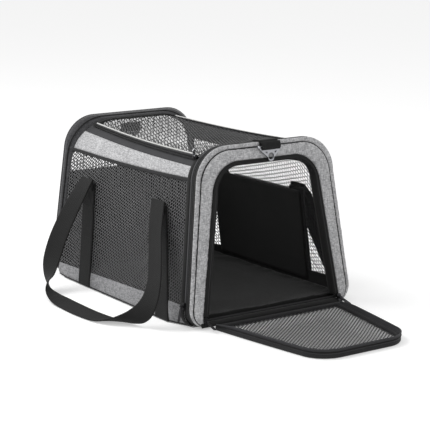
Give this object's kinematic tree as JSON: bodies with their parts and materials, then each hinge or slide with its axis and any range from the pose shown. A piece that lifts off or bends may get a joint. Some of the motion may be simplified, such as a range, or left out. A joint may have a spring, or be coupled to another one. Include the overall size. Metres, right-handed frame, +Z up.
{
  "type": "soft-sided pet carrier bag",
  "caption": "Soft mesh pet carrier with hooped end frames, an open zipped front door, a zipped top flap, webbing handles and strap rings",
  "frame": {"origin": "centre of the base's underside, on the ground", "axes": "+X out through the door, +Z up, -Y the side with the gusset's zip slider"},
  "size_m": [0.6945, 0.4837, 0.2851],
  "materials": {
    "grey_fabric": "heather-grey woven polyester over foam, matt",
    "black_fabric": "black woven polyester, matt",
    "base_fabric": "coated black polyester, matt",
    "black_mesh": "black polyester mesh with open holes",
    "board": "stiff hollow plastic board",
    "pad": "black fleece over foam",
    "spring_steel": "spring-steel wire in a sleeve",
    "webbing": "black polypropylene webbing",
    "ring_metal": "nickel-plated zinc casting",
    "black_metal": "black painted zip hardware",
    "bright_pull": "bright zip pull",
    "pale_piping": "pale piping cord",
    "zip": "black nylon zip tape and coil"
  },
  "bodies": {
    "bag": {"base_panel": "base_fabric", "base_board": "board", "floor_pad": "pad", "front_frame": "grey_fabric", "front_piping": "black_fabric", "front_hoop": "spring_steel", "front_gusset": "black_fabric", "gusset_zip": "zip", "door_zip_tape": "zip", "back_rim": "black_fabric", "back_piping": "black_fabric", "back_hoop": "spring_steel", "back_lower_panel": "black_fabric", "back_mesh": "black_mesh", "near_bottom_band": "grey_fabric", "far_bottom_band": "grey_fabric", "near_mesh": "black_mesh", "far_mesh": "black_mesh", "near_binding": "black_fabric", "far_binding": "black_fabric", "near_shoulder_band": "grey_fabric", "far_shoulder_band": "grey_fabric", "near_top_zip_tape": "zip", "far_top_zip_tape": "zip", "top_front_strip": "black_fabric", "top_back_strip": "black_fabric", "far_lining_panel": "black_fabric", "far_pocket": "grey_fabric", "near_back_strap": "webbing", "near_front_strap": "webbing", "far_back_strap": "webbing", "far_front_strap": "webbing", "front_ring_loop": "webbing", "back_ring_loop": "webbing"},
    "door": {"door_mesh": "black_mesh", "door_rim": "black_fabric", "door_hinge": "black_fabric", "door_zip": "zip"},
    "top_flap": {"top_mesh": "black_mesh", "top_flap_piping": "pale_piping", "top_flap_zip": "zip"},
    "near_handle": {"near_handle": "webbing"},
    "far_handle": {"far_handle": "webbing"},
    "front_ring": {"front_ring": "ring_metal"},
    "back_ring": {"back_ring": "ring_metal"},
    "door_near_slider": {"door_near_slider": "black_metal"},
    "door_near_pull": {"door_near_pull": "black_metal"},
    "door_far_slider": {"door_far_slider": "black_metal"},
    "door_far_pull": {"door_far_pull": "black_metal"},
    "top_slider": {"top_slider": "black_metal"},
    "top_pull": {"top_pull": "bright_pull"},
    "gusset_slider": {"gusset_slider": "black_metal"},
    "gusset_pull": {"gusset_pull": "black_metal"}
  },
  "joints": [
    {"name": "door_fold", "type": "hinge", "parent": "bag", "child": "door", "pos_m": [0.2256, 0, 0.004], "axis": [0, -1, 0], "range_deg": [0, 94]},
    {"name": "top_flap_fold", "type": "hinge", "parent": "bag", "child": "top_flap", "pos_m": [0.17259, 0, 0.27724], "axis": [0, 1, 0], "range_deg": [0, 140]},
    {"name": "near_handle_swing", "type": "hinge", "parent": "bag", "child": "near_handle", "pos_m": [-0.012, -0.14036, 0.18], "axis": [-1, 0, 0], "range_deg": [0, 150]},
    {"name": "far_handle_swing", "type": "hinge", "parent": "bag", "child": "far_handle", "pos_m": [-0.012, 0.14036, 0.18], "axis": [1, 0, 0], "range_deg": [0, 150]},
    {"name": "front_ring_swing", "type": "hinge", "parent": "bag", "child": "front_ring", "pos_m": [0.20612, 0.004, 0.27323], "axis": [0, -1, 0], "range_deg": [0, 90]},
    {"name": "back_ring_swing", "type": "hinge", "parent": "bag", "child": "back_ring", "pos_m": [-0.21827, 0.004, 0.24707], "axis": [0, 1, 0], "range_deg": [0, 90]},
    {"name": "door_near_zip", "type": "slide", "parent": "bag", "child": "door_near_slider", "axis": [-0.0861, 0.1524, 0.9846], "range_m": [0, 0.165]},
    {"name": "door_near_pull_swing", "type": "hinge", "parent": "door_near_slider", "child": "door_near_pull", "pos_m": [0.2304, -0.13229, 0.01285], "axis": [-0.0133, -0.9883, 0.1518], "range_deg": [0, 95]},
    {"name": "door_far_zip", "type": "slide", "parent": "bag", "child": "door_far_slider", "axis": [-0.0861, -0.1524, 0.9846], "range_m": [0, 0.165]},
    {"name": "door_far_pull_swing", "type": "hinge", "parent": "door_far_slider", "child": "door_far_pull", "pos_m": [0.2304, 0.13229, 0.01285], "axis": [0.0133, -0.9883, -0.1518], "range_deg": [0, 95]},
    {"name": "top_zip", "type": "slide", "parent": "bag", "child": "top_slider", "axis": [-0.9974, 0.0707, 0.0108], "range_m": [0, 0.29]},
    {"name": "top_pull_swing", "type": "hinge", "parent": "top_slider", "child": "top_pull", "pos_m": [0.1725, -0.11717, 0.266], "axis": [-0.0592, -0.7324, -0.6783], "range_deg": [-20, 120]},
    {"name": "gusset_zip_run", "type": "slide", "parent": "bag", "child": "gusset_slider", "axis": [-0.0865, 0.1223, 0.9887], "range_m": [0, 0.15]},
    {"name": "gusset_pull_swing", "type": "hinge", "parent": "gusset_slider", "child": "gusset_pull", "pos_m": [0.20486, -0.16402, 0.03744], "axis": [-0.9962, 0, -0.0872], "range_deg": [0, 140]}
  ]
}
